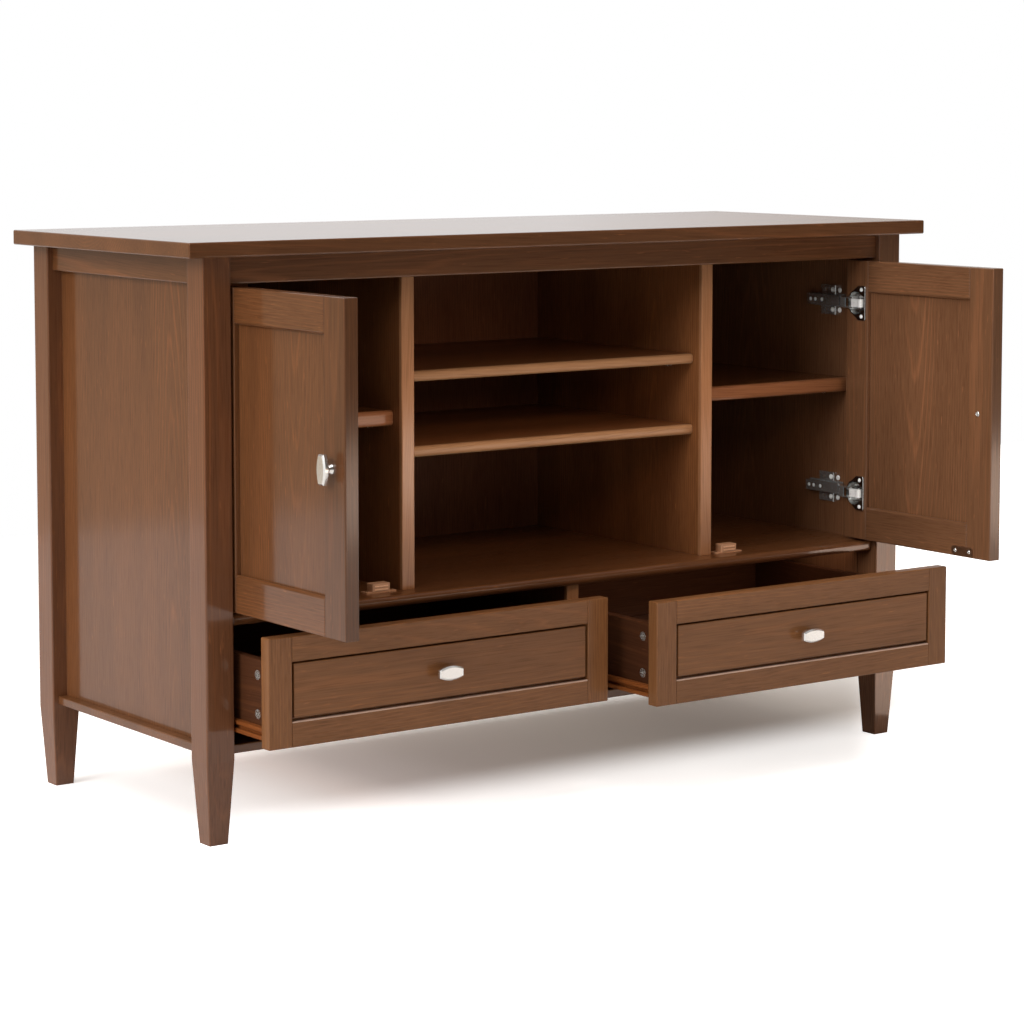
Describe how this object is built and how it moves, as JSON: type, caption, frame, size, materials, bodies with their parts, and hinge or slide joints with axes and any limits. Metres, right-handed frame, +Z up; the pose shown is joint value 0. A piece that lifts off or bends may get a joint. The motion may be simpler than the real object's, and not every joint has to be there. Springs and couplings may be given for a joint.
{
  "type": "tv stand",
  "caption": "Low wooden tv stand on tapered legs, with framed hinged doors either side of an open shelved bay, drawers below, oval knobs and a flat overhanging top.",
  "frame": {"origin": "on the floor, under the middle of the stand's box with its doors open", "axes": "+Z up, +X to the right seen from the front, and the doors and drawers face -Y"},
  "size_m": [1.194, 0.6866, 0.7365],
  "materials": {
    "stained_wood": "semi-gloss brown stain",
    "drawer_wood": "satin brown stain",
    "back_board": "satin brown stain",
    "knob_nickel": "satin nickel",
    "hinge_steel": "nickel plated",
    "hinge_cup_steel": "nickel plated",
    "catch_steel": "zinc plated",
    "catch_plastic": "moulded brown",
    "cam_steel": "zinc plated",
    "pin_steel": "nickel plated"
  },
  "bodies": {
    "carcass": {"back_panel": "back_board", "back_top_rail": "stained_wood", "bay_shelf_left": "stained_wood", "bay_shelf_right": "stained_wood", "bottom_board": "stained_wood", "cabinet_deck": "stained_wood", "catch_bodies": "catch_plastic", "catch_poles": "catch_steel", "centre_shelf_lower": "stained_wood", "centre_shelf_upper": "stained_wood", "divider_left": "stained_wood", "divider_right": "stained_wood", "drawer_guides": "drawer_wood", "drawer_partition": "stained_wood", "front_apron": "stained_wood", "hinge_arms": "hinge_steel", "hinge_plates": "hinge_steel", "leg_back_left": "stained_wood", "leg_back_right": "stained_wood", "leg_front_left": "stained_wood", "leg_front_right": "stained_wood", "shelf_pins": "pin_steel", "side_panel_left": "stained_wood", "side_panel_right": "stained_wood", "side_top_rails": "stained_wood", "top_board": "stained_wood"},
    "left_hinge_links": {"left_hinge_links": "hinge_steel"},
    "right_hinge_links": {"right_hinge_links": "hinge_steel"},
    "left_door": {"left_door_free_stile": "stained_wood", "left_door_hinge_cups": "hinge_cup_steel", "left_door_hinge_stile": "stained_wood", "left_door_knob": "knob_nickel", "left_door_panel": "stained_wood", "left_door_rails": "stained_wood", "left_door_strike_plate": "catch_steel"},
    "right_door": {"right_door_free_stile": "stained_wood", "right_door_hinge_cups": "hinge_cup_steel", "right_door_hinge_stile": "stained_wood", "right_door_knob": "knob_nickel", "right_door_panel": "stained_wood", "right_door_rails": "stained_wood", "right_door_strike_plate": "catch_steel"},
    "left_drawer": {"left_drawer_back": "drawer_wood", "left_drawer_bottom": "drawer_wood", "left_drawer_cams": "cam_steel", "left_drawer_front_panel": "stained_wood", "left_drawer_front_rails": "stained_wood", "left_drawer_front_stiles": "stained_wood", "left_drawer_knob": "knob_nickel", "left_drawer_runners": "drawer_wood", "left_drawer_sides": "drawer_wood"},
    "right_drawer": {"right_drawer_back": "drawer_wood", "right_drawer_bottom": "drawer_wood", "right_drawer_cams": "cam_steel", "right_drawer_front_panel": "stained_wood", "right_drawer_front_rails": "stained_wood", "right_drawer_front_stiles": "stained_wood", "right_drawer_knob": "knob_nickel", "right_drawer_runners": "drawer_wood", "right_drawer_sides": "drawer_wood"}
  },
  "joints": [
    {"name": "left_hinge_link_swing", "type": "hinge", "parent": "carcass", "child": "left_hinge_links", "pos_m": [-0.50377, -0.07107, 0.4825], "axis": [0, 0, -1], "range_deg": [-150, 0]},
    {"name": "left_door_swing", "type": "hinge", "parent": "left_hinge_links", "child": "left_door", "pos_m": [-0.5057, -0.08525, 0.4825], "axis": [0, 0, -1], "range_deg": [0, 60]},
    {"name": "right_hinge_link_swing", "type": "hinge", "parent": "carcass", "child": "right_hinge_links", "pos_m": [0.50377, -0.07107, 0.4825], "axis": [0, 0, 1], "range_deg": [-150, 0]},
    {"name": "right_door_swing", "type": "hinge", "parent": "right_hinge_links", "child": "right_door", "pos_m": [0.5057, -0.08525, 0.4825], "axis": [0, 0, 1], "range_deg": [0, 60]},
    {"name": "left_drawer_slide", "type": "slide", "parent": "carcass", "child": "left_drawer", "axis": [0, -1, 0], "range_m": [-0.0846, 0.1904]},
    {"name": "right_drawer_slide", "type": "slide", "parent": "carcass", "child": "right_drawer", "axis": [0, -1, 0], "range_m": [-0.1539, 0.1211]}
  ],
  "couplings": [
    {"joint": "left_hinge_link_swing", "follows": "left_door_swing", "ratio": -2.5},
    {"joint": "right_hinge_link_swing", "follows": "right_door_swing", "ratio": -2.5}
  ]
}
